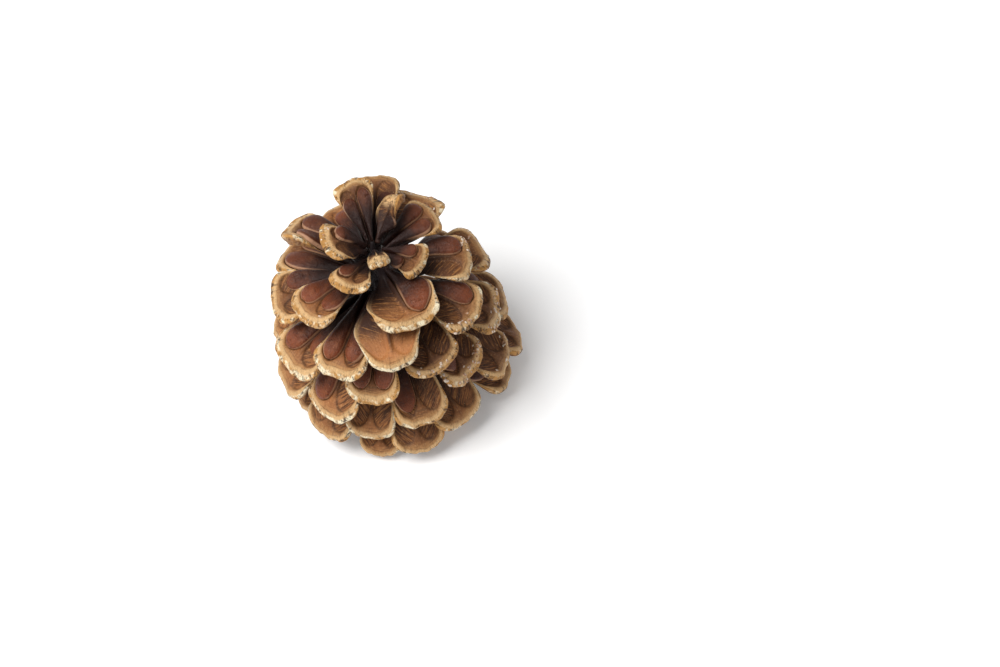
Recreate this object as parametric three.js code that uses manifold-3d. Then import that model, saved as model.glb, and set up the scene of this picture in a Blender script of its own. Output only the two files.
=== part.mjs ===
// An open, dry pine cone: a woody axis on a stub of stalk, with its scales in one spiral round it.
// Millimetres, +Z up along the axis. The cone stands on the flat end of its stub, at the origin.
import * as THREE from 'three';
import { mergeVertices } from 'three/addons/utils/BufferGeometryUtils.js';
import Module from 'manifold-3d';

const { degToRad, lerp, smoothstep } = THREE.MathUtils;
const wasm = await Module();
wasm.setup();

// The spiral. Scales are counted from the stalk up.
const SCALE_COUNT = 60;
const TURN = degToRad(-137.87);
const FIRST_TURN = degToRad(128.6);
const FUSED_AT_BASE = 1;

// Where the scales' tips stand, as [radius, height], evenly along the spiral, and the heights
// between which their roots leave the axis.
const TIP_LINE = [[19.5, 1.6], [28.3, 4], [30.2, 11], [30.1, 23.8], [29.1, 38], [24.6, 53], [10.5, 66.5]];
const ROOT_LOW = 13.6;
const ROOT_HIGH = 59;

// The axis and its stub, as [radius, height] up the side.
const AXIS_LINE = [[4.6, 0], [4.9, 0.8], [4.3, 5], [5.2, 11], [5.2, 22], [4.6, 36], [3.4, 50], [2.2, 58.6], [1, 60.4]];
const AXIS_SIDES = 20;
// Roots stop just short of the axis, and the steep ones near the tip a little further out.
const ROOT_GAP = 0.65;
const ROOT_GAP_AT_TIP = 1.3;
const ROOT_SUNK = 1.2;

// One full-size scale: half its width and half its thickness, from root to tip.
const STATIONS = [0, 0.15, 0.32, 0.5, 0.66, 0.79, 0.89, 0.96, 1];
const HALF_WIDTH = [1.5, 1.8, 3.1, 4.9, 6.5, 7.3, 7.2, 5.5, 2.6];
const HALF_THICK = [0.9, 0.8, 0.6, 0.5, 0.55, 0.75, 1.15, 1.1, 0.7];
const SCALE_SIDES = 10;
const CUP = 1.1;
const BOW = 0.13;
const BASE_SIZE = 0.72;
const TIP_SIZE = 0.36;
const TIP_TAPERS_FROM = 0.72;

// Every scale is twisted a little as it dried, and these dried further out of line than the rest:
// [scale, turn round the axis in degrees, reach, rise, twist in degrees, size].
const STRAY_TWIST = 5;
const OUT_OF_LINE = [
  [4, 0, 1.5, -0.5, 0, 1], [7, 7, 1.2, -1.3, 0, 1], [9, 10, 3.5, 0, 0, 1], [14, 0, 5, 0, 4, 1],
  [17, -4, -1, 0, 0, 1], [20, -4, -2.5, 0, 0, 0.88], [22, 0, 1.5, 0, 0, 1], [23, -5, 1, 1, 0, 1],
  [25, -3, -1.5, 0, 0, 0.96], [27, 0, 2, 0, 0, 1], [30, 0, -2.5, 0.5, 0, 1], [31, 3, 0.5, -1, 0, 1],
  [33, -6, -2.5, 1.5, 0, 0.9], [38, 3, -2, 0.5, 0, 1], [39, -11, -1, 4, -4, 1.12],
  [41, 0, -1, 0, 0, 0.88], [42, 0, -2.5, 0, 0, 1], [43, 3, -0.5, 0.5, 0, 1], [45, 10, -1.2, 1, 0, 1],
  [46, 2, 2, -1.5, 0, 0.9], [47, -11, -2.5, -2, 0, 0.85], [48, 0, -1.5, 0, 0, 0.93],
  [49, 0, -0.8, 1.5, 0, 0.93], [50, 5, 1.5, 1, 0, 0.9], [51, -11, 0.5, -2, 8, 1.14],
  [52, -3, 0.5, 5, -42, 1.18], [53, 2, -1, 0, 0, 1], [54, -6, -2, 3, 0, 0.82],
  [55, -8, 1.5, 2.5, 0, 0.86], [56, -5, 0, -4, -8, 1], [57, -2, -2, 2, 0, 1.25], [58, -3, 2, -1, 50, 1],
  [59, 0, 0, 0, 0, 1.25],
];

const BARK = 0x3a2c24;
const WOOD = 0x8a5a36;

// A fixed number from -1 to 1 for scale i.
function stray(i) {
  const wave = Math.sin(i * 12.9898) * 43758.5453;
  return 2 * (wave - Math.floor(wave)) - 1;
}

function leaning(i) {
  const [, turn, reach, rise, twist, size] = OUT_OF_LINE.find(([scale]) => scale === i) ?? [i, 0, 0, 0, 0, 1];
  return { turn: degToRad(turn), reach, rise, twist: degToRad(twist + STRAY_TWIST * stray(i)), size };
}

const tipCurve = new THREE.SplineCurve(TIP_LINE.map(([r, z]) => new THREE.Vector2(r, z)));

function axisRadius(height) {
  let k = 1;
  while (k < AXIS_LINE.length - 1 && AXIS_LINE[k][1] < height) {
    k += 1;
  }
  const [r0, z0] = AXIS_LINE[k - 1];
  const [r1, z1] = AXIS_LINE[k];
  return lerp(r0, r1, THREE.MathUtils.clamp((height - z0) / (z1 - z0), 0, 1));
}

// How big scale i is against a full-size one from the middle of the cone.
function sizeAt(t) {
  const taper = Math.max(0, (t - TIP_TAPERS_FROM) / (1 - TIP_TAPERS_FROM)) ** 3;
  return lerp(BASE_SIZE, 1, smoothstep(t, 0, 0.3)) * lerp(1, TIP_SIZE, taper);
}

// The middle line of scale i, in the upright plane through the axis.
function midLine(i, rootInset) {
  const t = i / (SCALE_COUNT - 1);
  const rootHeight = lerp(ROOT_LOW, ROOT_HIGH, t);
  const root = new THREE.Vector2(axisRadius(rootHeight) + rootInset, rootHeight);
  const tip = tipCurve.getPoint(t);
  tip.x += leaning(i).reach;
  tip.y += leaning(i).rise;
  const along = tip.clone().sub(root);
  const upward = new THREE.Vector2(-along.y, along.x);
  const middle = root.clone().add(tip).multiplyScalar(0.5).addScaledVector(upward, BOW);
  return new THREE.QuadraticBezierCurve(root, middle, tip);
}

// A closed spatulate plate: a drum whose rings are moved out along the scale's middle line.
function scaleGeometry(i, rootInset) {
  const line = midLine(i, rootInset);
  const { twist, size: grown } = leaning(i);
  const size = sizeAt(i / (SCALE_COUNT - 1)) * grown;
  const rings = STATIONS.length - 1;
  const geometry = new THREE.CylinderGeometry(1, 1, 1, SCALE_SIDES, rings);
  const place = geometry.attributes.position;
  for (let v = 0; v < place.count; v += 1) {
    const ring = Math.round((place.getY(v) + 0.5) * rings);
    const station = STATIONS[ring];
    const middle = line.getPoint(station);
    const tangent = line.getTangent(station);
    const across = place.getX(v) * HALF_WIDTH[ring] * size;
    const edge = place.getX(v) * smoothstep(station, 0.3, 0.9);
    const lift = place.getZ(v) * HALF_THICK[ring] * lerp(size, 1, 0.4) + CUP * size * edge * edge;
    const roll = twist * smoothstep(station, 0.2, 1);
    const side = across * Math.cos(roll) - lift * Math.sin(roll);
    const up = across * Math.sin(roll) + lift * Math.cos(roll);
    place.setXYZ(v, middle.x - tangent.y * up, -side, middle.y + tangent.x * up);
  }
  geometry.deleteAttribute('normal');
  geometry.deleteAttribute('uv');
  return mergeVertices(geometry, 1e-4);
}

function scaleTurn(i) {
  return FIRST_TURN + TURN * i + leaning(i).turn;
}

function toSolid(geometry) {
  return new wasm.Manifold(new wasm.Mesh({
    numProp: 3,
    vertProperties: new Float32Array(geometry.attributes.position.array),
    triVerts: new Uint32Array(geometry.index.array),
  }));
}

function toGeometry(solid) {
  const mesh = solid.getMesh();
  const geometry = new THREE.BufferGeometry();
  geometry.setAttribute('position', new THREE.BufferAttribute(mesh.vertProperties, 3));
  geometry.setIndex(new THREE.BufferAttribute(mesh.triVerts, 1));
  geometry.computeVertexNormals();
  return geometry;
}

// The axis, with the small sterile scale at its foot grown into it.
function axisGeometry() {
  const outline = [new THREE.Vector2(0, 0)];
  for (const [radius, height] of AXIS_LINE) {
    outline.push(new THREE.Vector2(radius, height));
  }
  outline.push(new THREE.Vector2(0, AXIS_LINE.at(-1)[1] + 0.4));
  const core = new THREE.LatheGeometry(outline, AXIS_SIDES);
  core.rotateX(Math.PI / 2);
  core.deleteAttribute('normal');
  core.deleteAttribute('uv');
  let solid = toSolid(mergeVertices(core, 1e-4));
  for (let i = 0; i < FUSED_AT_BASE; i += 1) {
    const scale = scaleGeometry(i, -ROOT_SUNK);
    scale.rotateZ(scaleTurn(i));
    solid = solid.add(toSolid(scale));
  }
  return toGeometry(solid);
}

const group = new THREE.Group();

const axis = new THREE.Mesh(axisGeometry(), new THREE.MeshStandardMaterial({
  color: BARK,
  roughness: 0.8,
  metalness: 0,
}));
axis.name = 'cone_axis';
group.add(axis);

for (let i = FUSED_AT_BASE; i < SCALE_COUNT; i += 1) {
  const tone = new THREE.Color(WOOD).offsetHSL(0, 0, 0.03 * stray(i));
  const gap = lerp(ROOT_GAP, ROOT_GAP_AT_TIP, (i / (SCALE_COUNT - 1)) ** 6);
  const scale = new THREE.Mesh(scaleGeometry(i, gap), new THREE.MeshStandardMaterial({
    color: tone,
    roughness: 0.7,
    metalness: 0,
  }));
  scale.name = `scale_${String(i - FUSED_AT_BASE + 1).padStart(2, '0')}`;
  scale.rotation.z = scaleTurn(i);
  group.add(scale);
}

export default group;
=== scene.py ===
import math

import bpy
import numpy as np
from mathutils import Matrix, Vector


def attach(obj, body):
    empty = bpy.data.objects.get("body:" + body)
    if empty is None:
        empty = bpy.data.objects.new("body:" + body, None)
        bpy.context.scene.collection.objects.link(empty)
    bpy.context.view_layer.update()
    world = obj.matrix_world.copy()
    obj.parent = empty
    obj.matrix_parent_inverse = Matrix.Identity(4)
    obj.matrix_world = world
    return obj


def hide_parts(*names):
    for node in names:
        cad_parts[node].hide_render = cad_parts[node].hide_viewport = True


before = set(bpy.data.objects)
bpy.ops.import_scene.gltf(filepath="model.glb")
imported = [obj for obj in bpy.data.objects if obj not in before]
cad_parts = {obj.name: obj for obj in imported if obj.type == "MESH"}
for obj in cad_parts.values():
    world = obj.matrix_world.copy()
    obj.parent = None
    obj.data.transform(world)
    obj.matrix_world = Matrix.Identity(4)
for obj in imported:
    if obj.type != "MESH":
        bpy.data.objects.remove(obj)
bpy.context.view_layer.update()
MM = 0.001


# ---- The view ----
# The cone is looked down on from in front with a short telephoto lens. The camera is turned so that
# the cone stands left of the middle, and rolled so that it leans a little to the left.
LOOKED_AT = Vector((0, 0, 30 * MM))
CAMERA_AWAY = 0.600
LOOKING_DOWN = math.radians(55.6)
ROLL = math.radians(11.4)
LENS = 85
SENSOR = 36
CONE_IN_PICTURE = (-0.114, 0.0215)  # from the middle, in widths of the picture


def place_camera():
    data = bpy.data.cameras.new("camera")
    data.lens = LENS
    data.sensor_width = SENSOR
    camera = bpy.data.objects.new("camera", data)
    bpy.context.scene.collection.objects.link(camera)
    bpy.context.scene.camera = camera
    back = Vector((0, -math.cos(LOOKING_DOWN), math.sin(LOOKING_DOWN)))
    right = Vector((1, 0, 0))
    up = back.cross(right)
    rolled_right = right * math.cos(ROLL) - up * math.sin(ROLL)
    rolled_up = up * math.cos(ROLL) + right * math.sin(ROLL)
    level = Matrix((rolled_right, rolled_up, back)).transposed()
    seen = Vector((CONE_IN_PICTURE[0] * SENSOR / LENS, CONE_IN_PICTURE[1] * SENSOR / LENS, -1))
    aside = seen.rotation_difference(Vector((0, 0, -1))).to_matrix()
    place = (level @ aside).to_4x4()
    place.translation = LOOKED_AT + back * CAMERA_AWAY
    camera.matrix_world = place


place_camera()


# ---- The scales ----
# Fifty-nine woody plates stand in one spiral round the axis, each a piece of its own, spread like a
# spoon on a narrow root. One flat blank is drawn at full size, and a tree of nodes bends, cups,
# twists and roughens it for every scale.
SCALE_COUNT = 60
TURN = math.radians(-137.87)
FIRST_TURN = math.radians(128.6)
# The tips' [radius, height] in millimetres, evenly along the spiral, as a smooth curve.
TIP_LINE = [(19.5, 1.6), (28.3, 4), (30.2, 11), (30.1, 23.8), (29.1, 38), (24.6, 53), (10.5, 66.5)]
ROOT_LOW = 13.6
ROOT_HIGH = 59
ROOT_IN_AXIS = 0.5
# The side of the axis and its stub, as [radius, height].
AXIS_LINE = [(4.6, 0), (4.9, 0.8), (4.3, 5), (5.2, 11), (5.2, 22), (4.6, 36), (3.4, 50), (2.2, 58.6),
             (1, 60.4)]
# How far a scale's middle line is pulled out of straight, as a share of its length.
BOW = 0.13
# The lowest and the highest scale's size against a full one's.
BASE_SIZE = 0.72
TIP_SIZE = 0.36
TIP_TAPERS_FROM = 0.72

# Scales that dried out of line, or grew big or small, as
# (turn round the axis in degrees, reach, rise, twist in degrees, size).
STRAY_TWIST = 5
OUT_OF_LINE = {
    4: (0, 1.5, -0.5, 0, 1), 7: (7, 1.2, -1.3, 0, 1), 9: (10, 3.5, 0, 0, 1), 14: (0, 5, 0, 4, 1),
    17: (-4, -1, 0, 0, 1), 20: (-4, -2.5, 0, 0, 0.88), 22: (0, 1.5, 0, 0, 1), 23: (-5, 1, 1, 0, 1),
    25: (-3, -1.5, 0, 0, 0.96), 27: (0, 2, 0, 0, 1), 30: (0, -2.5, 0.5, 0, 1), 31: (3, 0.5, -1, 0, 1),
    33: (-6, -2.5, 1.5, 0, 0.9), 38: (3, -2, 0.5, 0, 1), 39: (-11, -1, 4, -4, 1.12),
    41: (0, -1, 0, 0, 0.88), 42: (0, -2.5, 0, 0, 1), 43: (3, -0.5, 0.5, 0, 1),
    45: (10, -1.2, 1, 0, 1), 46: (2, 2, -1.5, 0, 0.9), 47: (-11, -2.5, -2, 0, 0.85),
    48: (0, -1.5, 0, 0, 0.93), 49: (0, -0.8, 1.5, 0, 0.93), 50: (5, 1.5, 1, 0, 0.9),
    51: (-11, 0.5, -2, 8, 1.14), 52: (-3, 0.5, 5, -42, 1.18), 53: (2, -1, 0, 0, 1),
    54: (-6, -2, 3, 0, 0.82), 55: (-8, 1.5, 2.5, 0, 0.86), 56: (-5, 0, -4, -8, 1),
    57: (-2, -2, 2, 0, 1.25), 58: (-3, 2, -1, 50, 1), 59: (0, 0, 0, 0, 1.25),
}
# What is left of the two seed wings on each scale, from 0 (fallen) to 1 (whole), as (left, right)
# of someone who looks at the scale from its tip.
WINGS_LEFT = {
    4: (0, 0), 7: (0.9, 0), 9: (0.8, 0), 12: (0.6, 0.7), 14: (0, 0), 15: (0, 0), 17: (0, 0),
    20: (0, 0), 22: (0.8, 0), 23: (0, 0), 25: (0.95, 0), 28: (1, 0), 30: (0.95, 0), 31: (0, 0),
    33: (1, 1), 35: (0, 0), 36: (1, 0.85), 38: (0, 0), 39: (1, 1), 40: (0, 0), 41: (1, 0.95),
    43: (0, 1), 44: (0.9, 0.7), 45: (0, 0), 46: (0, 0), 47: (0.9, 1), 48: (0, 1), 49: (1, 0.9),
    50: (0.8, 0.8), 51: (0, 1), 52: (1, 1), 53: (0.95, 1), 54: (0.95, 0), 55: (0.95, 0.85),
    56: (0.7, 0.9), 57: (0.9, 0), 58: (0.6, 0), 59: (0, 0),
}
# How tightly a scale is cupped round its length, in radians to the millimetre.
CURL = 0.05
CURLED = {
    33: 0.055, 41: 0.06, 46: 0.012, 47: 0.07, 49: 0.05, 51: 0.055, 52: 0.08, 54: 0.07, 55: 0.075,
    56: 0.085, 57: 0.06, 58: 0.3, 59: -0.25,
}
# Wings that are plumper or flatter than most.
PLUMP = {25: 0.6, 28: 1.6, 30: 0.7, 36: 1.2, 41: 1.5}
# How much broader a scale is half way out, as a share of its width.
SHOULDERS = {9: 0.4, 17: 0.35, 38: 0.2, 45: 0.5, 46: 0.8, 48: 0.2, 51: 0.6, 57: 0.3, 58: 0.4}
# How far the rim swells out past the plate. Low on the cone it swells less.
RIM_AT_FOOT = 0.35
RIM_HIGHER_UP = 0.6
RIM_SIZES = {
    33: 1.1, 41: 1.1, 43: 0.65, 46: 0.5, 48: 0.6, 49: 1.1, 50: 0.6, 52: 1.3, 53: 0.7, 54: 1.5,
    55: 1.3, 57: 1.9, 59: 1.7,
}
# Scales whose inner face is covered with the rim's pale crust, from 0 (none) to 1 (all).
WEATHERED = {58: 0.85, 59: 1}
# How strongly the inner face is combed with dark streaks. The young scales near the tip have less.
COMBED = {46: 0, 59: 0}
COMBED_YOUNG = 0.6
YOUNG_FROM = 46
# How pale and warm each scale's wood is, from -1 (dark) to 1 (light). On the scales near the top the low
# values also paint shade, spreading the dark of the cone's centre further out.
TONES_AND_SHADE = {
    9: -0.3, 22: -0.4, 25: -0.2, 27: -0.4, 28: 0.3, 30: -0.5, 35: -0.4, 36: 0, 38: -0.7, 39: -0.4,
    40: -0.3, 41: 0, 43: -0.3, 44: -0.3, 45: -0.3, 46: 0.75, 47: 0.1, 48: -0.4, 49: 0, 50: -0.4,
    51: 0.2, 52: -0.6, 53: -0.4, 54: -0.4, 55: -0.6, 56: -0.3, 57: -0.4, 58: -1,
}

# The flat blank, in millimetres, with places along it as shares of its length.
BLANK_LENGTH = 22
NECK = 1.4
FULL_WIDTH = 6.6
TIP_AT = 0.95
WIDEST_AT = 0.78
CORNER_AT = 0.88
TIP_BLUNT = 2.3
TIP_SQUARE = 2.1
GRID_ALONG = 56
GRID_ACROSS = 54
WALL_LAYERS = 12
PLATE_THICK = 1.0
ROOT_THICK = 1.7
RIM_THICK = 3.3
KEEL_OUT = 1.25
KEEL_DOWN = 0.55
KEEL_THICK = 0.35
KEEL_WIDE = 1.2
WALL_BULGE = 0.15
RIDGE_HIGH = 0.25
RIDGE_WIDE = 0.32
GROOVE_AT = 0.75
GROOVE_WIDE = 0.35
BED_ENDS = 0.875
BED_ROUNDS_FROM = 0.7
BED_DEPTH = 0.75
BED_WIDE = 0.46  # of the plate's half width
TOP_LEVEL = 0.35
UNDER_LEVEL = 0.3
TOP_ROUNDED = 1.3
UNDER_ROUNDED = 0.6
EDGE_DROP = 0.5


def stray(i):
    """A fixed number from -1 to 1 for scale i."""
    wave = math.sin(i * 12.9898) * 43758.5453
    return 2 * (wave - math.floor(wave)) - 1


def smooth(x, low, high):
    t = np.clip((x - low) / (high - low), 0, 1)
    return t * t * (3 - 2 * t)


def half_width(along):
    """Half the blank's width, from the root (0) to the rounded tip (1)."""
    spread = NECK + (FULL_WIDTH - NECK) * smooth(along, 0, WIDEST_AT) ** 1.2
    past = np.clip((along - WIDEST_AT) / (TIP_AT - WIDEST_AT), 0, 1)
    return spread * (1 - past ** TIP_BLUNT) ** (1 / TIP_SQUARE)


def evenly(points, shares):
    """Points at these shares of the length of a line of points."""
    steps = np.linalg.norm(np.diff(points, axis=0), axis=1)
    gone = np.concatenate([[0], np.cumsum(steps)])
    gone /= gone[-1]
    return np.stack([np.interp(shares, gone, points[:, k]) for k in (0, 1)], axis=1)


def blank_plan():
    """The blank's grid of places seen from above, and its outline."""
    low = np.linspace(0, CORNER_AT, 400)
    side = np.stack([half_width(low), low * BLANK_LENGTH], axis=1)
    corner = half_width(np.array([CORNER_AT]))[0]
    swing = np.linspace(-1, 1, 401)
    across = corner * np.sin(swing * math.pi / 2)
    inside = 1 - (np.abs(across) / FULL_WIDTH) ** TIP_SQUARE
    high = WIDEST_AT + (TIP_AT - WIDEST_AT) * inside ** (1 / TIP_BLUNT)
    tip = np.stack([across, high * BLANK_LENGTH], axis=1)
    # The grid is closer towards the rim, where the detail is.
    u = np.linspace(0, 1, GRID_ALONG + 1)
    u = 0.6 * u + 0.4 * np.sin(u * math.pi / 2)
    v = np.linspace(0, 1, GRID_ACROSS + 1)
    v = 0.5 * v + 0.5 * (0.5 - 0.5 * np.cos(v * math.pi))
    right = evenly(side, u)
    left = right * (-1, 1)
    end = evenly(tip, v)
    root = np.stack([(2 * v - 1) * NECK, 0 * v], axis=1)
    uu, vv = u[:, None, None], v[None, :, None]
    grid = (1 - vv) * left[:, None] + vv * right[:, None] + (1 - uu) * root[None] + uu * end[None]
    grid -= (1 - uu) * ((1 - vv) * root[0] + vv * root[-1]) + uu * ((1 - vv) * end[0] + vv * end[-1])
    outline = np.concatenate([side, tip[::-1], side[::-1] * (-1, 1)])
    return grid, outline


def bed_centre(along):
    """How far a wing's bed lies from the middle of the plate."""
    return 0.2 + 0.475 * half_width(np.minimum(along, WIDEST_AT))


def bed_reach(across, along):
    """0 in the middle of a wing's bed and 1 at its edge."""
    wide = BED_WIDE * half_width(np.minimum(along, WIDEST_AT))
    aside = (np.abs(across) - bed_centre(along)) / wide
    ahead = np.clip((along - BED_ROUNDS_FROM) / (BED_ENDS - BED_ROUNDS_FROM), 0, None)
    return np.sqrt(aside ** 2 + ahead ** 2)


def top_height(across, along, rim):
    """The inner face's relief: two beds with a thin ridge between them, rounded off at the rim."""
    spread = smooth(along, 0.12, 0.35)
    bed = (1 - smooth(bed_reach(across, along), 0.82, 1.08)) * spread
    between = smooth(along, 0.1, 0.3) * (1 - smooth(along, 0.78, 0.9))
    groove = np.exp(-((np.abs(across) - GROOVE_AT) / GROOVE_WIDE) ** 2)
    ridge = np.exp(-(across / RIDGE_WIDE) ** 2) - 0.7 * groove
    rounded = np.clip(1 - rim / TOP_ROUNDED, 0, 1) ** 2
    height = TOP_LEVEL - BED_DEPTH * bed + RIDGE_HIGH * ridge * between - EDGE_DROP * rounded
    return height, bed


def thickness(across, along, rim):
    """The plate is thin, and swells towards its rim over a low keel."""
    front = smooth(along, 0.55, 0.95)
    plate = ROOT_THICK + (PLATE_THICK - ROOT_THICK) * smooth(along, 0, 0.45)
    swell = 1 - smooth(rim, 1.3, 4.2)
    keel = KEEL_THICK * np.exp(-(across / KEEL_WIDE) ** 2) * (1 - smooth(rim, 0.6, 2.2)) * front
    rounded = np.clip(1 - rim / UNDER_ROUNDED, 0, 1) ** 2
    return plate + (RIM_THICK - plate) * swell * front + keel - EDGE_DROP * rounded


def plate_blank():
    """Vertices, faces and surface values of the plate: two grids joined by a wall round the rim."""
    grid, outline = blank_plan()
    rows, columns = grid.shape[:2]
    flat = grid.reshape(-1, 2)
    steps = np.linalg.norm(np.diff(outline, axis=0), axis=1)
    gone = np.concatenate([[0], np.cumsum(steps)])
    nearest = [int(((outline - p) ** 2).sum(1).argmin()) for p in flat]
    rim = np.linalg.norm(flat - outline[nearest], axis=1)
    around = gone[nearest]
    across, along = flat[:, 0], flat[:, 1] / BLANK_LENGTH
    top, bed = top_height(across, along, rim)
    under = UNDER_LEVEL - thickness(across, along, rim)
    number = np.arange(rows * columns).reshape(rows, columns)
    loop = np.concatenate([number[:-1, -1], number[-1, :0:-1], number[:0:-1, 0], number[0, :-1]])
    ahead = flat[np.roll(loop, -1)] - flat[np.roll(loop, 1)]
    out = np.stack([ahead[:, 1], -ahead[:, 0]], axis=1)
    out /= np.linalg.norm(out, axis=1)[:, None]
    count = rows * columns
    places = [np.column_stack([flat, top]), np.column_stack([flat, under])]
    proud = [np.zeros((2 * count, 3))]
    values = [np.column_stack([rim, rim * 0 + 1, bed, around]),
              np.column_stack([rim, rim * 0 - 1, bed * 0, around])]
    front = smooth(along[loop], 0.66, 0.93)
    for k in range(1, WALL_LAYERS):
        down = k / WALL_LAYERS
        if down < KEEL_DOWN:
            slope = math.sin(math.pi / 2 * down / KEEL_DOWN) ** 0.9
        else:
            slope = math.cos(math.pi / 2 * (down - KEEL_DOWN) / (1 - KEEL_DOWN)) ** 0.8
        places.append(np.column_stack([flat[loop], top[loop] + (under[loop] - top[loop]) * down]))
        bulge = out * (WALL_BULGE * math.sin(math.pi * down) + KEEL_OUT * front * slope)[:, None]
        proud.append(np.column_stack([bulge, 0 * front]))
        level = np.full(len(loop), 1 - 2 * down)
        values.append(np.column_stack([0 * level, level, 0 * level, around[loop]]))
    faces = []
    for i in range(rows - 1):
        for j in range(columns - 1):
            a, b, c, d = number[i, j], number[i, j + 1], number[i + 1, j + 1], number[i + 1, j]
            faces.append((a, b, c, d))
            faces.append((a + count, d + count, c + count, b + count))
    rings = [loop]
    for k in range(WALL_LAYERS - 1):
        rings.append(2 * count + k * len(loop) + np.arange(len(loop)))
    rings.append(loop + count)
    for upper, lower in zip(rings, rings[1:]):
        for j in range(len(loop)):
            n = (j + 1) % len(loop)
            faces.append((upper[j], lower[j], lower[n], upper[n]))
    return np.concatenate(places), faces, np.concatenate(values), np.concatenate(proud)


WING_FROM = 0.08
WING_RINGS = 30
WING_SIDES = 22
WING_THICK = 1.6
WING_WIDE = 0.45  # of the plate's half width
WING_TAPERS_FROM = 0.76
WING_LEANS_IN = 0.175
WING_ENDS = BED_ENDS - 0.015


def wing_blank(side):
    """One seed wing: a plump closed lobe that lies in its bed."""
    share = np.sin(np.linspace(0, 1, WING_RINGS + 1)[:-1] * math.pi / 2) * 0.995
    places, values, faces = [], [], []
    for a in share:
        along = WING_FROM + (WING_ENDS - WING_FROM) * a
        wide = WING_WIDE * half_width(np.array([min(along, WIDEST_AT)]))[0]
        end = max(0.0, (a - WING_TAPERS_FROM) / (1 - WING_TAPERS_FROM))
        wide *= math.sqrt(1 - end ** 2.4) * (0.75 + 0.25 * min(1, a / 0.5))
        centre = bed_centre(np.array([along]))[0] - WING_LEANS_IN * a ** 4
        for k in range(WING_SIDES):
            angle = 2 * math.pi * k / WING_SIDES
            across = math.copysign(abs(math.cos(angle)) ** 0.8, math.cos(angle))
            domed = math.sin(angle)
            height = WING_THICK * max(0, domed) ** 0.65 if domed > 0 else 0.3 * domed
            height *= 0.35 + 0.65 * math.sqrt(1 - end ** 2.4)
            places.append((side * (centre + wide * across), along * BLANK_LENGTH, height))
            values.append((wide * (1 - abs(across)), domed, 0, 0))
    for r in range(WING_RINGS - 1):
        for k in range(WING_SIDES):
            n = (k + 1) % WING_SIDES
            faces.append((r * WING_SIDES + k, r * WING_SIDES + n,
                          (r + 1) * WING_SIDES + n, (r + 1) * WING_SIDES + k))
    faces.append(tuple(range(WING_SIDES - 1, -1, -1)))
    faces.append(tuple((WING_RINGS - 1) * WING_SIDES + k for k in range(WING_SIDES)))
    if side > 0:
        faces = [face[::-1] for face in faces]
    return np.array(places), faces, np.array(values)


def scale_blank():
    """The plate and both wings as one mesh. lobe is 1 on the left wing, -1 on the right, else 0."""
    places, faces, values, proud = plate_blank()
    lobe = [np.zeros(len(places))]
    all_places, all_values = [places], [values]
    for side in (1, -1):
        start = sum(len(p) for p in all_places)
        wing_places, wing_faces, wing_values = wing_blank(side)
        faces += [tuple(v + start for v in face) for face in wing_faces]
        all_places.append(wing_places)
        all_values.append(wing_values)
        lobe.append(np.full(len(wing_places), float(side)))
    mesh = bpy.data.meshes.new("scale blank")
    mesh.from_pydata(np.concatenate(all_places).tolist(), [], [[int(v) for v in f] for f in faces])
    values = np.concatenate(all_values)
    for name, column in (("rim", values[:, 0]), ("face", values[:, 1]), ("bed", values[:, 2]),
                         ("around", values[:, 3]), ("lobe", np.concatenate(lobe))):
        layer = mesh.attributes.new(name, "FLOAT", "POINT")
        layer.data.foreach_set("value", column.astype(np.float32))
    layer = mesh.attributes.new("proud", "FLOAT_VECTOR", "POINT")
    proud = np.concatenate([proud, np.zeros((len(values) - len(proud), 3))])
    layer.data.foreach_set("vector", proud.astype(np.float32).ravel())
    mesh.update()
    return mesh


class Measure:
    """A number that varies over a surface, worked out by Math nodes in a node tree."""

    def __init__(self, tree, socket):
        self.tree = tree
        self.socket = socket

    def worked(self, operation, *others):
        node = self.tree.nodes.new("ShaderNodeMath")
        node.operation = operation
        for place, value in zip(node.inputs, (self, *others)):
            plug(value, place)
        return Measure(self.tree, node.outputs[0])

    def __add__(self, other):
        return self.worked("ADD", other)

    def __radd__(self, other):
        return self.worked("ADD", other)

    def __sub__(self, other):
        return self.worked("SUBTRACT", other)

    def __rsub__(self, other):
        return (self * -1).worked("ADD", other)

    def __mul__(self, other):
        return self.worked("MULTIPLY", other)

    def __rmul__(self, other):
        return self.worked("MULTIPLY", other)

    def __truediv__(self, other):
        return self.worked("DIVIDE", other)

    def __pow__(self, other):
        return self.worked("POWER", other)

    def eased(self, low, high, start=0, end=1):
        """start below low, end above high, and a smooth change between."""
        node = self.tree.nodes.new("ShaderNodeMapRange")
        node.interpolation_type = "SMOOTHSTEP"
        for place, value in zip(node.inputs, (self, low, high, start, end)):
            plug(value, place)
        return Measure(self.tree, node.outputs[0])


def plug(value, socket):
    if isinstance(value, Measure):
        value.tree.links.new(value.socket, socket)
    else:
        socket.default_value = value


def added(tree, kind, inputs=(), **settings):
    """A new node with these settings and these values on its named or numbered inputs."""
    node = tree.nodes.new(kind)
    for name, value in settings.items():
        setattr(node, name, value)
    for name, value in dict(inputs).items():
        plug(value, node.inputs[name])
    return node


def vector(tree, x, y, z):
    return Measure(tree, added(tree, "ShaderNodeCombineXYZ", {0: x, 1: y, 2: z}).outputs[0])


def parts_of(tree, value):
    node = added(tree, "ShaderNodeSeparateXYZ", {0: value})
    return [Measure(tree, socket) for socket in node.outputs]


def mottle(tree, place, size, seed=0, detail=3, rough=0.55):
    """Noise from -1 to 1, with lumps of about the given size."""
    node = added(tree, "ShaderNodeTexNoise", {"Vector": place, "W": seed, "Scale": 1 / size,
                                              "Detail": detail, "Roughness": rough},
                 noise_dimensions="4D")
    return (Measure(tree, node.outputs[0]) - 0.5) * 2


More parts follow.
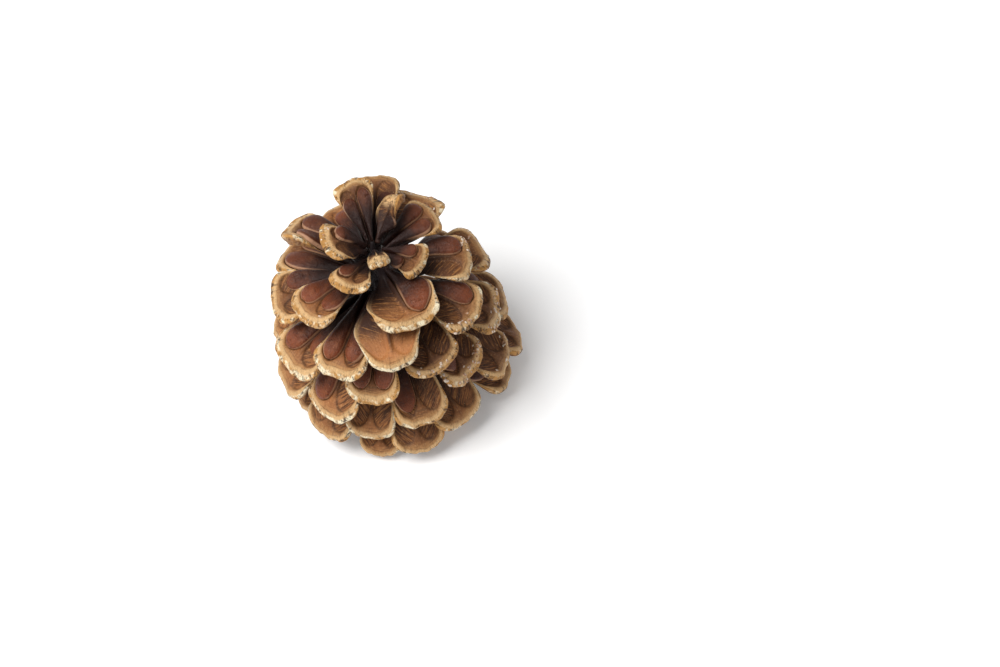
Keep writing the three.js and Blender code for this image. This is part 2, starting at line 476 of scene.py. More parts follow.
SCALE_SIZES = [
    "root radius", "root height", "tip radius", "tip height", "bow", "size", "turn", "twist", "curl",
    "tip lift", "left wing", "right wing", "wing plumpness", "shoulder", "rim size", "weathered",
    "combed", "tone", "seed",
]
OUTLINE_WANDERS = 0.045  # of the blank's length
WIDTH_WANDERS = 0.12
WARP = 1.1
PITS = 0.08
RIM_LUMPS = 0.62
RIM_CRACKS = 0.45


def stored(tree, name, kind="FLOAT"):
    """A value kept on each point of the shape that a tree of nodes works on."""
    node = added(tree, "GeometryNodeInputNamedAttribute", {"Name": name}, data_type=kind)
    return Measure(tree, node.outputs[0])


def scale_tree(wood, wing):
    """Makes one scale out of the blank, from the sizes that scale_values gives."""
    tree = bpy.data.node_groups.new("pine scale", "GeometryNodeTree")
    tree.interface.new_socket(name="blank", in_out="INPUT", socket_type="NodeSocketGeometry")
    for name in SCALE_SIZES:
        tree.interface.new_socket(name=name, in_out="INPUT", socket_type="NodeSocketFloat")
    tree.interface.new_socket(name="scale", in_out="OUTPUT", socket_type="NodeSocketGeometry")
    given = tree.nodes.new("NodeGroupInput")
    size_of = {name: Measure(tree, given.outputs[name]) for name in SCALE_SIZES}
    seed = size_of["seed"]

    def kept(shape, name, value, kind="FLOAT"):
        node = added(tree, "GeometryNodeStoreNamedAttribute", {"Name": name, "Value": value},
                     data_type=kind, domain="POINT")
        tree.links.new(shape, node.inputs["Geometry"])
        return node.outputs["Geometry"]

    lobe = stored(tree, "lobe")
    rim = stored(tree, "rim")
    shape = given.outputs["blank"]

    # Fallen wings go.
    for side, name in ((1, "left wing"), (-1, "right wing")):
        on_side = (lobe * side).worked("GREATER_THAN", 0.5)
        gone = size_of[name].worked("LESS_THAN", 0.05)
        node = added(tree, "GeometryNodeDeleteGeometry", {"Selection": on_side * gone})
        tree.links.new(shape, node.inputs["Geometry"])
        shape = node.outputs[0]

    # Where each point is on the flat blank. A worn wing is shorter.
    place = Measure(tree, tree.nodes.new("GeometryNodeInputPosition").outputs[0])
    across, length, height = parts_of(tree, place)
    proud_across, proud_along, _ = parts_of(tree, stored(tree, "proud", "FLOAT_VECTOR"))
    across = across + proud_across * size_of["rim size"]
    length = length + proud_along * size_of["rim size"]
    along = length / BLANK_LENGTH
    left = lobe.worked("MAXIMUM", 0)
    right = (lobe * -1).worked("MAXIMUM", 0)
    worn = 1 - left * (1 - size_of["left wing"]) - right * (1 - size_of["right wing"])
    along = WING_FROM + (along - WING_FROM) * worn
    on_plate = 1 - left - right

    # The outline wanders a little, and the plate is warped.
    fringe = along.eased(0.55, 1)
    outline_wave = mottle(tree, vector(tree, across, 0, 0), 4.5, seed, 2)
    width_wave = mottle(tree, vector(tree, 0, length, across.worked("SIGN") * 9), 7, seed + 3, 2)
    along = along + OUTLINE_WANDERS * outline_wave * fringe
    broad = size_of["shoulder"] * along.eased(0.15, 0.4) * along.eased(0.85, 0.45)
    wide = across * (1 + WIDTH_WANDERS * width_wave * along.eased(0.3, 0.8) + broad)
    warp = mottle(tree, vector(tree, across, length, 0), 9, seed + 7, 1)

    # Cupped round its length, with its tip lifted.
    size = size_of["size"]
    bend = size_of["curl"] * along.eased(0.22, 0.9) + 0.0001
    x = wide * size
    z = height * (0.4 * size + 0.6) * (on_plate + (1 - on_plate) * size_of["wing plumpness"])
    angle = bend * x
    side = angle.worked("SINE") / bend - z * angle.worked("SINE")
    lift = (1 - angle.worked("COSINE")) / bend + z * angle.worked("COSINE")
    lift = lift + size_of["tip lift"] * along.eased(0.55, 1) ** 2 + WARP * warp * along.eased(0.3, 1)

    # Twisted about its middle line.
    twist = size_of["twist"] * along.eased(0.2, 1)
    across_line = side * twist.worked("COSINE") - lift * twist.worked("SINE")
    off_line = side * twist.worked("SINE") + lift * twist.worked("COSINE")

    # The middle line: a bowed curve from the root to the tip.
    r0, z0 = size_of["root radius"], size_of["root height"]
    r2, z2 = size_of["tip radius"], size_of["tip height"]
    r1 = (r0 + r2) * 0.5 - (z2 - z0) * size_of["bow"]
    z1 = (z0 + z2) * 0.5 + (r2 - r0) * size_of["bow"]
    rest = 1 - along
    middle_r = rest * rest * r0 + 2 * rest * along * r1 + along * along * r2
    middle_z = rest * rest * z0 + 2 * rest * along * z1 + along * along * z2
    slope_r = rest * (r1 - r0) + along * (r2 - r1)
    slope_z = rest * (z1 - z0) + along * (z2 - z1)
    steep = (slope_r * slope_r + slope_z * slope_z).worked("SQRT")
    out = middle_r - slope_z / steep * off_line
    up = middle_z + slope_r / steep * off_line

    # Turned to its place round the axis, in metres.
    cos, sin = size_of["turn"].worked("COSINE"), size_of["turn"].worked("SINE")
    target = vector(tree, (out * cos + across_line * sin) * MM, (out * sin - across_line * cos) * MM,
                    up * MM)
    flat = vector(tree, across, length + seed * 31, height + seed * 17)
    shape = kept(shape, "lay", flat, "FLOAT_VECTOR")
    shape = kept(shape, "along", along)
    for name in ("tone", "weathered", "combed"):
        shape = kept(shape, name, size_of[name])
    node = added(tree, "GeometryNodeSetPosition", {"Position": target})
    tree.links.new(shape, node.inputs["Geometry"])
    shape = node.outputs[0]

    # The surface is pitted and the rim is crumbly.
    normal = tree.nodes.new("GeometryNodeInputNormal").outputs[0]
    crumbly = rim.eased(0.6, 0.1) * along.eased(0.45, 0.75) * on_plate
    lay = stored(tree, "lay", "FLOAT_VECTOR")
    lumps = mottle(tree, lay, 1.5, 5, 3)
    along_rim = vector(tree, stored(tree, "around"), stored(tree, "face") * 0.8, seed)
    cracks = mottle(tree, along_rim, 0.7, 11, 3, 0.7)
    fine = mottle(tree, lay, 2.2, 19, 4)
    depth = (crumbly * (RIM_LUMPS * lumps + RIM_CRACKS * cracks) + PITS * fine) * MM
    push = added(tree, "ShaderNodeVectorMath", {0: Measure(tree, normal)}, operation="SCALE")
    plug(depth, push.inputs["Scale"])
    node = tree.nodes.new("GeometryNodeSetPosition")
    tree.links.new(shape, node.inputs["Geometry"])
    tree.links.new(push.outputs[0], node.inputs["Offset"])
    shape = node.outputs[0]

    node = tree.nodes.new("GeometryNodeRealizeInstances")
    tree.links.new(shape, node.inputs[0])
    shape = node.outputs[0]
    on_wing = lobe.worked("ABSOLUTE").worked("GREATER_THAN", 0.5)
    for material, chosen in ((wood, True), (wing, on_wing)):
        node = added(tree, "GeometryNodeSetMaterial", {"Selection": chosen, "Material": material})
        tree.links.new(shape, node.inputs["Geometry"])
        shape = node.outputs[0]
    handed_on = tree.nodes.new("NodeGroupOutput")
    tree.links.new(shape, handed_on.inputs[0])
    return tree


def grown(name, mesh, tree, values):
    """A plain mesh made by a tree of nodes from a blank mesh."""
    blank = bpy.data.objects.new(name + "_blank", mesh)
    bpy.context.scene.collection.objects.link(blank)
    modifier = blank.modifiers.new("grown", "NODES")
    modifier.node_group = tree
    for item in tree.interface.items_tree:
        if item.in_out == "INPUT" and item.name in values:
            modifier[item.identifier] = float(values[item.name])
    shown = blank.evaluated_get(bpy.context.evaluated_depsgraph_get())
    made = bpy.data.meshes.new_from_object(shown)
    bpy.data.objects.remove(blank)
    made.name = name
    made.shade_smooth()
    piece = bpy.data.objects.new(name, made)
    bpy.context.scene.collection.objects.link(piece)
    return piece


def tip_at(t):
    """The tips' smooth curve through TIP_LINE, its end points doubled."""
    last = len(TIP_LINE) - 1
    p = min(int(t * last), last - 1)
    w = t * last - p
    picks = [TIP_LINE[min(max(p + k, 0), last)] for k in (-1, 0, 1, 2)]
    if p == 0:
        picks[0] = TIP_LINE[0]
    made = []
    for a, b, c, d in zip(*picks):
        made.append(0.5 * (2 * b + (c - a) * w + (2 * a - 5 * b + 4 * c - d) * w ** 2
                           + (3 * b - a - 3 * c + d) * w ** 3))
    return made


def axis_radius(height):
    radii, heights = zip(*AXIS_LINE)
    return float(np.interp(height, heights, radii))


def wings_left(i):
    """What is left of both wings, drawn by a fixed lot where WINGS_LEFT doesn't say."""
    lot = 0.5 + 0.5 * stray(i + 100)
    if lot < 0.5:
        drawn = (0.9, 0.8)
    elif lot < 0.7:
        drawn = (0.9, 0)
    elif lot < 0.85:
        drawn = (0, 0.9)
    else:
        drawn = (0, 0)
    return WINGS_LEFT.get(i, drawn)


def rim_size(i, t):
    usual = RIM_AT_FOOT + RIM_HIGHER_UP * float(smooth(np.array(t), 0.15, 0.6))
    return RIM_SIZES.get(i, usual * (1 + 0.35 * stray(i + 60)))


def scale_values(i):
    """What the pine scale tree is given for scale i, counted from the stalk up."""
    t = i / (SCALE_COUNT - 1)
    turn, reach, rise, twist, grown_by = OUT_OF_LINE.get(i, (0, 0, 0, 0, 1))
    root_height = ROOT_LOW + (ROOT_HIGH - ROOT_LOW) * t
    tip_radius, tip_height = tip_at(t)
    taper = max(0, (t - TIP_TAPERS_FROM) / (1 - TIP_TAPERS_FROM)) ** 3
    filled_out = float(smooth(np.array(t), 0, 0.3))
    left, right = wings_left(i)
    return {
        "root radius": axis_radius(root_height) - ROOT_IN_AXIS, "root height": root_height,
        "tip radius": tip_radius + reach, "tip height": tip_height + rise, "bow": BOW,
        "size": (BASE_SIZE + (1 - BASE_SIZE) * filled_out) * (1 + (TIP_SIZE - 1) * taper) * grown_by,
        "turn": FIRST_TURN + TURN * i + math.radians(turn),
        "twist": math.radians(twist + STRAY_TWIST * stray(i)),
        "curl": CURLED.get(i, CURL * (1 + 0.3 * stray(i + 50))),
        "tip lift": 0.5 * stray(i + 30),
        "left wing": left, "right wing": right,
        "wing plumpness": PLUMP.get(i, 1 + 0.25 * stray(i + 90)),
        "shoulder": SHOULDERS.get(i, 0.1 * stray(i + 20)),
        "rim size": rim_size(i, t),
        "weathered": WEATHERED.get(i, 0), "combed": COMBED.get(i, 1 if i < YOUNG_FROM else COMBED_YOUNG),
        "tone": TONES_AND_SHADE.get(i, 0.35 * stray(i + 70)), "seed": i * 1.37,
    }


def paint(red, green, blue):
    """A linear colour from the three everyday 0 to 255 values."""
    return tuple((c / 255) ** 2.2 for c in (red, green, blue)) + (1,)


def blended(tree, share, under, over):
    """One colour laid over another in the given share."""
    node = tree.nodes.new("ShaderNodeMix")
    node.data_type = "RGBA"
    node.clamp_factor = True
    for place, value in ((0, share), (6, under), (7, over)):
        plug(value, node.inputs[place])
    return Measure(tree, node.outputs[2])


GRAIN_PARTS = ("Streaks", "Fibres", "Specks", "Clouds")


def grain_group():
    """Streaks, specks and clouds that all the cone's surfaces share, drawn over a place in mm."""
    group = bpy.data.node_groups.new("weathered grain", "ShaderNodeTree")
    group.interface.new_socket(name="Place", in_out="INPUT", socket_type="NodeSocketVector")
    group.interface.new_socket(name="Slant", in_out="INPUT", socket_type="NodeSocketFloat")
    for name in GRAIN_PARTS:
        group.interface.new_socket(name=name, in_out="OUTPUT", socket_type="NodeSocketFloat")
    given = group.nodes.new("NodeGroupInput")
    place = Measure(group, given.outputs["Place"])
    slant = Measure(group, given.outputs["Slant"])
    x, y, z = parts_of(group, place)
    aside = x.worked("ABSOLUTE")
    run = aside * slant.worked("SINE") - y * slant.worked("COSINE")
    cross = aside * slant.worked("COSINE") + y * slant.worked("SINE")
    streaks = mottle(group, vector(group, cross * 3.4, run * 0.3, z), 1.0, 1, 3, 0.6)
    fibres = mottle(group, vector(group, x * 2.2, y * 0.35, z * 2), 1.0, 2, 4, 0.75)
    specks = mottle(group, place, 0.5, 3, 2, 0.6).eased(0.25, 0.45)
    clouds = mottle(group, place, 3.2, 4, 3)
    out = group.nodes.new("NodeGroupOutput")
    for name, value in zip(GRAIN_PARTS, (streaks, fibres, specks, clouds)):
        plug(value, out.inputs[name])
    return group


GRAIN = grain_group()


def grain(tree, place, slant=0.0):
    node = added(tree, "ShaderNodeGroup", node_tree=GRAIN)
    plug(place, node.inputs["Place"])
    plug(slant, node.inputs["Slant"])
    return [Measure(tree, node.outputs[name]) for name in GRAIN_PARTS]


def new_material(name):
    material = bpy.data.materials.new(name)
    material.use_nodes = True
    tree = material.node_tree
    return material, tree, tree.nodes["Principled BSDF"]


def reader(tree, name, vector_wanted=False):
    node = added(tree, "ShaderNodeAttribute", attribute_name=name)
    return Measure(tree, node.outputs["Vector" if vector_wanted else "Fac"])


def raised(tree, height, depth, shader):
    """Feeds a height in millimetres to a shader's normal."""
    bump = added(tree, "ShaderNodeBump", {"Strength": 1.0, "Distance": depth * MM})
    plug(height, bump.inputs["Height"])
    tree.links.new(bump.outputs[0], shader.inputs["Normal"])


# Near black: the dark wood at a scale's root, deepened into painted shade where it lies deep in the
# cone.
ROOT_DARK_AND_SHADE = paint(34, 24, 25)
DARK_WOOD = paint(62, 38, 27)
BROWN_WOOD = paint(122, 78, 46)
PALE_WOOD_AND_HIGHLIGHT = paint(184, 120, 70)
STREAK_DARK = paint(58, 34, 20)
HAIR = paint(178, 122, 68)
BAND = paint(186, 138, 88)
RIM = paint(255, 240, 204)
RIM_TAN = paint(228, 186, 132)
RING_DARK = paint(104, 72, 46)
RIM_GOLD = paint(198, 144, 80)
RIM_DIRT = paint(64, 42, 28)
UNDER = paint(140, 112, 84)


def wood_material():
    """Nearly black at the root, partly dark wood and partly painted shade, and brown further out, with a
    pale, cracked, crusty rim.
    """
    material, tree, shader = new_material("open scale wood")
    lay = reader(tree, "lay", True)
    along, rim = reader(tree, "along"), reader(tree, "rim")
    face, bed, tone = reader(tree, "face"), reader(tree, "bed"), reader(tree, "tone")
    streaks, fibres, specks, clouds = grain(tree, lay, 0.85)
    across = parts_of(tree, lay)[0]
    around = reader(tree, "around")

    # The inner face: dark at the root, partly dark wood and partly painted shade of the cone's deep
    # centre, streaked over the beds, with a groove down the middle.
    inner = blended(tree, (along + 0.2 * tone).eased(0.3, 0.6), ROOT_DARK_AND_SHADE, DARK_WOOD)
    inner = blended(tree, (along + 0.12 * clouds).eased(0.46, 0.8), inner, BROWN_WOOD)
    # Painted highlight: paler towards the rim, partly the wood's own paler colour and partly light
    # painted on.
    lit = (along + 0.15 * clouds).eased(0.5, 0.85) * (0.35 + 0.65 * tone)
    inner = blended(tree, lit, inner, PALE_WOOD_AND_HIGHLIGHT)
    # Darker where the tone is low: the wood's own darker tone, and on the scales near the top painted
    # shade.
    inner = blended(tree, (tone * -0.8).worked("MAXIMUM", 0) * 0.8, inner, DARK_WOOD)
    strength = reader(tree, "combed")
    combed = (0.85 * bed + 0.15) * streaks.eased(-0.1, 0.25) * strength
    inner = blended(tree, combed * 0.85, inner, STREAK_DARK)
    pale = (0.85 * bed + 0.15) * (streaks * -1).eased(0.05, 0.3) * along.eased(0.3, 0.6)
    inner = blended(tree, pale * 0.65, inner, HAIR)
    line = across.worked("ABSOLUTE").eased(0.55, 0.12) * along.eased(0.2, 0.35) * along.eased(0.84, 0.7)
    inner = blended(tree, line * 0.75, inner, STREAK_DARK)

    # A dark line round each bed, painted as the shadow under a wing's edge and drawn the same round bare
    # beds, then growth rings and a pale band near the rim.
    bed_edge_shadow = bed.eased(0.02, 0.4) * bed.eased(0.95, 0.5)
    inner = blended(tree, bed_edge_shadow * clouds.eased(-0.8, 0.3) * strength * 0.7, inner, STREAK_DARK)
    cracks = mottle(tree, vector(tree, around, face * 0.7 - rim * 0.5, tone * 9), 0.75, 8, 4, 0.7)
    rings = mottle(tree, vector(tree, rim * 2.4, around * 0.16, tone * 7), 1.0, 12, 3)
    near_rim = (1 - bed) * along.eased(0.5, 0.75)
    band = (rim + 0.6 * clouds + 0.7 * rings).eased(2.2, 0.4) * near_rim
    inner = blended(tree, band * 0.8, inner, BAND)
    ringed = rings.eased(0.05, 0.35) * near_rim * rim.eased(4.5, 2)
    inner = blended(tree, ringed * 0.7, inner, RING_DARK)
    # A golden lip along the rim, partly the wood's own colour and partly a painted highlight.
    golden_lip_and_highlight = (rim + 0.3 * clouds + 0.2 * rings).eased(0.8, 0.1) * along.eased(0.4, 0.62)
    inner = blended(tree, golden_lip_and_highlight * 0.8, inner, RIM_TAN)
    cracked = cracks.eased(0.08, 0.4) * rim.eased(1.6, 0.3) * near_rim
    inner = blended(tree, cracked * 0.6, inner, RIM_DIRT)

    # The underside, and the crust of the rim.
    # The underside is near black towards the root: dark wood, deepened into painted shade.
    outer = blended(tree, along.eased(0.3, 0.7), ROOT_DARK_AND_SHADE, UNDER)
    outer = blended(tree, clouds.eased(0.0, 0.6) * 0.5, outer, BROWN_WOOD)
    wall = rim.eased(1.6, 0.4) * along.eased(0.4, 0.65)
    patches = mottle(tree, lay, 1.6, 15, 3, 0.6)
    crust = (patches + clouds * 0.6 - tone * 0.3).eased(-0.3, 0.15)
    crust = blended(tree, crust, RIM, RIM_GOLD)
    crust = blended(tree, face.eased(1, 0.7), RIM_TAN, crust)
    crust = blended(tree, face.eased(0.3, -0.3) * 0.5, crust, RIM_GOLD)
    crust = blended(tree, cracks.eased(0.0, 0.25) * 0.9, crust, RIM_DIRT)
    crust = blended(tree, specks * 0.75, crust, RIM_DIRT)
    crust = blended(tree, face.eased(-0.2, -0.8) * 0.7, crust, BROWN_WOOD)
    outer = blended(tree, wall, outer, crust)

    # All of it together, with fibres, dirt and pores over the whole scale.
    weathered = reader(tree, "weathered")
    crusted = weathered.eased(0, 0.1) * (along + 0.15 * clouds + 0.7 * weathered).eased(1.25, 1.45)
    colour = blended(tree, face.eased(0.7, 0.95), outer, blended(tree, crusted, inner, crust))
    colour = blended(tree, fibres.eased(0.0, 0.55) * 0.5, colour, STREAK_DARK)
    colour = blended(tree, clouds.eased(0.1, 0.7) * 0.35, colour, STREAK_DARK)
    colour = blended(tree, specks * 0.35, colour, STREAK_DARK)
    pores = mottle(tree, lay, 0.42, 21, 3, 0.6)
    colour = blended(tree, pores.eased(0.05, 0.5) * 0.45, colour, STREAK_DARK)
    colour = blended(tree, pores.eased(-0.1, -0.5) * along.eased(0.4, 0.7) * 0.3, colour, RIM_TAN)
    plug(colour, shader.inputs["Base Color"])
    plug(0.62 + 0.14 * clouds - 0.18 * along.eased(0.5, 0.2), shader.inputs["Roughness"])
    shader.inputs["Specular IOR Level"].default_value = 0.35
    knobs = 1.3 * patches - 0.6 * specks - 1.7 * cracks
    roughened = 0.5 * fibres + 0.6 * streaks * bed * strength + 0.5 * clouds + knobs * wall
    raised(tree, roughened, 0.2, shader)
    return material


WING_DEEP = paint(44, 25, 20)
WING_RED = paint(128, 66, 36)
WING_WORN = paint(152, 92, 56)
WING_PALE = paint(190, 144, 112)


def wing_material():
    """A thin reddish skin, flecked across and paler where it has worn."""
    material, tree, shader = new_material("seed wing")
    lay = reader(tree, "lay", True)
    along, rim, tone = reader(tree, "along"), reader(tree, "rim"), reader(tree, "tone")
    _, fibres, specks, clouds = grain(tree, lay, 0.1)
    x, y, z = parts_of(tree, lay)
    across_flecks = mottle(tree, vector(tree, x * 0.5, y * 3.2, z), 1.0, 6, 3).eased(0.1, 0.6)
    colour = blended(tree, (along + 0.15 * clouds).eased(0.42, 0.85), WING_DEEP, WING_RED)
    pores = mottle(tree, lay, 0.4, 22, 3, 0.65)
    worn = mottle(tree, lay, 2.4, 23, 3, 0.6)
    colour = blended(tree, worn.eased(0.0, 0.45) * along.eased(0.4, 0.7) * 0.45, colour, WING_WORN)
    # Darker where the tone is low: the skin's own darker tone, and on the scales near the top painted
    # shade.
    colour = blended(tree, (tone * -0.8).worked("MAXIMUM", 0), colour, WING_DEEP)
    colour = blended(tree, across_flecks * 0.55, colour, WING_DEEP)
    colour = blended(tree, fibres.eased(0.0, 0.5) * 0.5, colour, WING_DEEP)
    colour = blended(tree, pores.eased(0.0, 0.5) * 0.5, colour, WING_DEEP)
    colour = blended(tree, pores.eased(-0.15, -0.5) * along.eased(0.4, 0.7) * 0.22, colour, WING_PALE)
    colour = blended(tree, rim.eased(0.3, 0.05) * along.eased(0.35, 0.6) * 0.85, colour, WING_PALE)
    colour = blended(tree, specks * 0.2, colour, WING_PALE)
    plug(colour, shader.inputs["Base Color"])
    plug(0.4 + 0.12 * clouds, shader.inputs["Roughness"])
    shader.inputs["Specular IOR Level"].default_value = 0.35
    raised(tree, 0.6 * fibres + 0.8 * across_flecks + 1.2 * clouds + 0.5 * pores, 0.2, shader)
    return material


# The scales that carry beads of dried resin, and how thickly against BEADS_PER_AREA.
RESIN = {22: 14, 30: 34, 35: 26, 38: 14, 40: 14, 43: 40, 45: 16, 48: 26, 49: 6, 57: 8}
BEADS_PER_AREA = 30000  # on a square metre
BEAD_RADIUS = 0.34
BEAD_SMALLEST = (0.5, 0.5, 0.35)
BEAD_LARGEST = (1.3, 1.3, 0.8)
RESIN_FROM = 0.72
RESIN_NEAR_RIM = 1.4
RESIN_WHITE = paint(232, 218, 200)
RESIN_AMBER = paint(168, 116, 78)


def resin_material():
    material, tree, shader = new_material("dried resin")
    coords = added(tree, "ShaderNodeTexCoord")
    milky = mottle(tree, Measure(tree, coords.outputs["Object"]), 1.1 * MM, 31, 2)
    plug(blended(tree, milky.eased(-0.3, 0.3), RESIN_WHITE, RESIN_AMBER), shader.inputs["Base Color"])
    shader.inputs["Roughness"].default_value = 0.16
    shader.inputs["Specular IOR Level"].default_value = 0.6
    return material


def resin_tree(resin):
    """Beads of resin in patches along the rim of the scale it is given."""
    tree = bpy.data.node_groups.new("resin beads", "GeometryNodeTree")
    tree.interface.new_socket(name="scale", in_out="INPUT", socket_type="NodeSocketGeometry")
    for name in ("beads", "seed"):
        tree.interface.new_socket(name=name, in_out="INPUT", socket_type="NodeSocketFloat")
    tree.interface.new_socket(name="beads", in_out="OUTPUT", socket_type="NodeSocketGeometry")
    given = tree.nodes.new("NodeGroupInput")
    seed = Measure(tree, given.outputs["seed"])
    place = Measure(tree, tree.nodes.new("GeometryNodeInputPosition").outputs[0])
    patch = mottle(tree, place, 5 * MM, seed, 1).worked("GREATER_THAN", 0.02)
    on_plate = stored(tree, "lobe").worked("ABSOLUTE").worked("LESS_THAN", 0.5)
    on_rim = stored(tree, "rim").worked("LESS_THAN", RESIN_NEAR_RIM)
    on_rim = on_rim * stored(tree, "face").worked("GREATER_THAN", -0.2) * on_plate
    chosen = stored(tree, "along").worked("GREATER_THAN", RESIN_FROM) * on_rim * patch
    points = tree.nodes.new("GeometryNodeDistributePointsOnFaces")
    points.distribute_method = "RANDOM"
    tree.links.new(given.outputs["scale"], points.inputs["Mesh"])
    plug(chosen, points.inputs["Selection"])
    plug(Measure(tree, given.outputs["beads"]) * BEADS_PER_AREA, points.inputs["Density"])
    points.inputs["Seed"].default_value = 4
    bead = added(tree, "GeometryNodeMeshIcoSphere", {"Radius": BEAD_RADIUS * MM, "Subdivisions": 2})
    sizes = added(tree, "FunctionNodeRandomValue", data_type="FLOAT_VECTOR")
    sizes.inputs[0].default_value = BEAD_SMALLEST
    sizes.inputs[1].default_value = BEAD_LARGEST
    sizes.inputs["Seed"].default_value = 9
    node = tree.nodes.new("GeometryNodeInstanceOnPoints")
    tree.links.new(points.outputs["Points"], node.inputs["Points"])
    tree.links.new(points.outputs["Rotation"], node.inputs["Rotation"])
    tree.links.new(bead.outputs["Mesh"], node.inputs["Instance"])
    tree.links.new(sizes.outputs[0], node.inputs["Scale"])
    real = tree.nodes.new("GeometryNodeRealizeInstances")
    tree.links.new(node.outputs[0], real.inputs[0])
    node = added(tree, "GeometryNodeSetMaterial", {"Material": resin})
    tree.links.new(real.outputs[0], node.inputs["Geometry"])
    handed_on = tree.nodes.new("NodeGroupOutput")
    tree.links.new(node.outputs[0], handed_on.inputs[0])
    return tree


def joined(main, extra):
    """Makes the second mesh part of the first."""
    with bpy.context.temp_override(active_object=main, selected_editable_objects=[main, extra]):
        bpy.ops.object.join()


wood = wood_material()
wing = wing_material()
resin_beads = resin_tree(resin_material())
pine_scale = scale_tree(wood, wing)
blank = scale_blank()

for i in range(1, SCALE_COUNT):
    piece = grown(f"pine_scale_{i:02d}", blank, pine_scale, scale_values(i))
    if i in RESIN:
        joined(piece, grown("resin", piece.data, resin_beads, {"beads": RESIN[i], "seed": i}))
    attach(piece, "root")
    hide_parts(f"scale_{i:02d}")


# ---- The axis ----
# The woody core, black-brown and knuckled where each scale leaves it. It narrows inside the cone's
# top, and below it ends in the broken stub of the stalk. The lowest scale is grown into it.
AXIS_SIDES = 96
AXIS_LEVELS = 150
AXIS_POINT = 0.4
KNUCKLE = 0.9
KNUCKLE_WIDE = 1.5
KNUCKLE_TALL = 1.1
STUB_RIBS = 5
STUB_RIB = 0.16
NARROWED = 0.7
BARK_DARK = paint(44, 32, 27)
BARK_LIGHT = paint(112, 82, 58)
CUT_WOOD = paint(176, 138, 94)


def axis_mesh():
    radii, heights = zip(*AXIS_LINE)
    levels = np.linspace(0, heights[-1], AXIS_LEVELS + 1)
    angles = np.linspace(0, 2 * math.pi, AXIS_SIDES, endpoint=False)
    rng = np.random.default_rng(7)
    phases = rng.uniform(0, 2 * math.pi, STUB_RIBS)
    places = []
    for z in levels:
        height = np.array(z)
        usual = np.interp(z, heights, radii) * np.ones(AXIS_SIDES)
        radius = usual * (1 - NARROWED * smooth(height, 46, 58))
        stub = 1 - smooth(height, 9, 13)
        for k, phase in enumerate(phases):
            radius += stub * STUB_RIB * np.sin((5 + 2 * k) * angles + phase + 0.12 * z * math.sin(phase))
        for i in range(SCALE_COUNT):
            root = ROOT_LOW + (ROOT_HIGH - ROOT_LOW) * i / (SCALE_COUNT - 1)
            aside = (angles - FIRST_TURN - TURN * i + math.pi) % (2 * math.pi) - math.pi
            aside = aside * np.interp(root, heights, radii) / KNUCKLE_WIDE
            near = np.exp(-(aside ** 2) - ((z - root) / KNUCKLE_TALL) ** 2)
            radius += KNUCKLE * near * (1 - smooth(height, 44, 54))
        places += [(r * math.cos(a), r * math.sin(a), z) for r, a in zip(radius, angles)]
    places += [(0, 0, 0), (0, 0, heights[-1] + AXIS_POINT)]
    foot, top = len(places) - 2, len(places) - 1
    faces = []
    for level in range(AXIS_LEVELS):
        for k in range(AXIS_SIDES):
            n = (k + 1) % AXIS_SIDES
            a = level * AXIS_SIDES
            faces.append((a + k, a + n, a + AXIS_SIDES + n, a + AXIS_SIDES + k))
    for k in range(AXIS_SIDES):
        n = (k + 1) % AXIS_SIDES
        faces.append((n, k, foot))
        faces.append((AXIS_LEVELS * AXIS_SIDES + k, AXIS_LEVELS * AXIS_SIDES + n, top))
    mesh = bpy.data.meshes.new("cone axis")
    mesh.from_pydata([(x * MM, y * MM, z * MM) for x, y, z in places], [], faces)
    mesh.shade_smooth()
    return mesh


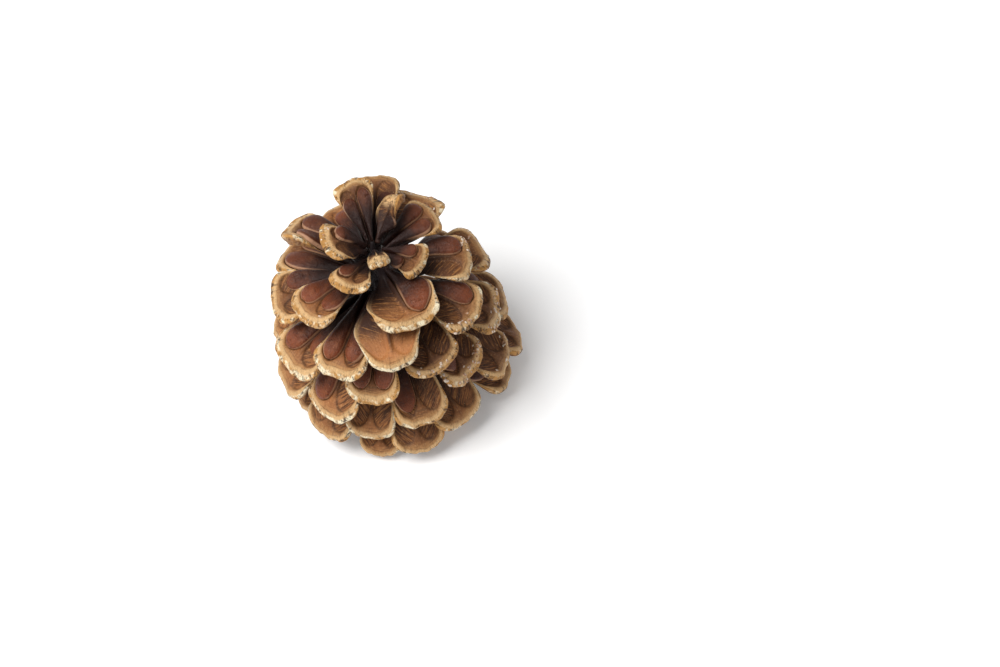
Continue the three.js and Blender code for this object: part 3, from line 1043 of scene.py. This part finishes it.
def bark_material():
    """Dark fibrous bark, painted black as shade where it runs up between the scales, with ringed pale
    wood on the broken end.
    """
    material, tree, shader = new_material("cone axis bark")
    coords = added(tree, "ShaderNodeTexCoord")
    place = Measure(tree, coords.outputs["Object"])
    big = added(tree, "ShaderNodeVectorMath", {0: place}, operation="SCALE")
    big.inputs["Scale"].default_value = 1 / MM
    place = Measure(tree, big.outputs[0])
    _, fibres, specks, clouds = grain(tree, place)
    x, y, z = parts_of(tree, place)
    colour = blended(tree, (clouds + fibres * 0.5).eased(-0.1, 0.6), BARK_DARK, BARK_LIGHT)
    # Painted shade: the bark turns near black from where the scales close round the axis.
    colour = blended(tree, z.eased(14, 24), colour, ROOT_DARK_AND_SHADE)
    rings = ((x * x + y * y).worked("SQRT") * 9).worked("SINE")
    cut = blended(tree, rings.eased(0, 1) * 0.5, CUT_WOOD, BROWN_WOOD)
    colour = blended(tree, z.eased(0.25, 0.1), colour, cut)
    plug(colour, shader.inputs["Base Color"])
    plug(0.7 + 0.15 * clouds, shader.inputs["Roughness"])
    raised(tree, clouds + fibres * 0.5 + specks, 0.15, shader)
    return material


axis = bpy.data.objects.new("cone_axis_piece", axis_mesh())
axis.data.materials.append(bark_material())
bpy.context.scene.collection.objects.link(axis)
lowest = grown("lowest_scale", blank, pine_scale, scale_values(0))
joined(axis, lowest)
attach(axis, "root")
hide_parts("cone_axis")


# ---- Floor and light ----
# A plain white table under a wide soft lamp, with pale light from all round.
FLOOR_SIZE = 3.0
FLOOR_GLOW = 0.15
SKY = 0.36
LAMP_AT = (-0.32, -0.1, 0.75)
LAMP_SIZE = 0.45
LAMP_POWER = 6.7


def plain_floor():
    half = FLOOR_SIZE / 2
    mesh = bpy.data.meshes.new("floor")
    corners = [(-half, -half, 0), (half, -half, 0), (half, half, 0), (-half, half, 0)]
    mesh.from_pydata(corners, [], [(0, 1, 2, 3)])
    floor = bpy.data.objects.new("floor", mesh)
    bpy.context.scene.collection.objects.link(floor)
    material, _, shader = new_material("white table")
    shader.inputs["Base Color"].default_value = (0.95, 0.95, 0.95, 1)
    shader.inputs["Roughness"].default_value = 0.9
    shader.inputs["Emission Color"].default_value = (1, 1, 1, 1)
    shader.inputs["Emission Strength"].default_value = FLOOR_GLOW
    mesh.materials.append(material)


def lamp(name, place, size, power):
    data = bpy.data.lights.new(name, "AREA")
    data.size = size
    data.energy = power
    light = bpy.data.objects.new(name, data)
    light.location = place
    light.rotation_mode = "QUATERNION"
    light.rotation_quaternion = (Vector(place) - LOOKED_AT).to_track_quat("Z", "Y")
    bpy.context.scene.collection.objects.link(light)


plain_floor()
lamp("soft box", LAMP_AT, LAMP_SIZE, LAMP_POWER)
world = bpy.data.worlds.new("studio")
bpy.context.scene.world = world
world.use_nodes = True
world.node_tree.nodes["Background"].inputs[0].default_value = (1, 1, 1, 1)
world.node_tree.nodes["Background"].inputs[1].default_value = SKY
bpy.context.scene.view_settings.view_transform = "Standard"
